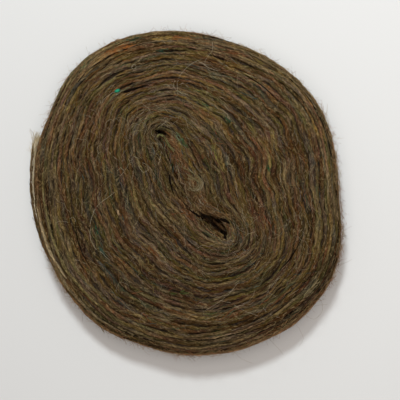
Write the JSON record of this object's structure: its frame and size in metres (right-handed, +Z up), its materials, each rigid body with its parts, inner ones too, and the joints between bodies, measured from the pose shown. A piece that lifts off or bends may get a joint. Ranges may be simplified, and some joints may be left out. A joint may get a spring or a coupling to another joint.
{
  "type": "plate of unspun wool roving",
  "caption": "Flat plate of unspun wool roving wound round a crooked slit, with its frayed inner end lying in the slit and its outer end loose on the table.",
  "frame": {"origin": "on the table, under the middle of the wound plate's bounding box", "axes": "+Z up through the plate, +Y towards the top of the overhead picture, +X towards its right"},
  "size_m": [0.2212, 0.2264, 0.0403],
  "materials": {
    "wool": "matt, hairy, heathered brown wool",
    "loose_wool": "matt, opened-out heathered brown wool"
  },
  "bodies": {
    "root": {"wound_plate": "wool", "inner_end": "loose_wool", "outer_end": "loose_wool"}
  },
  "joints": []
}
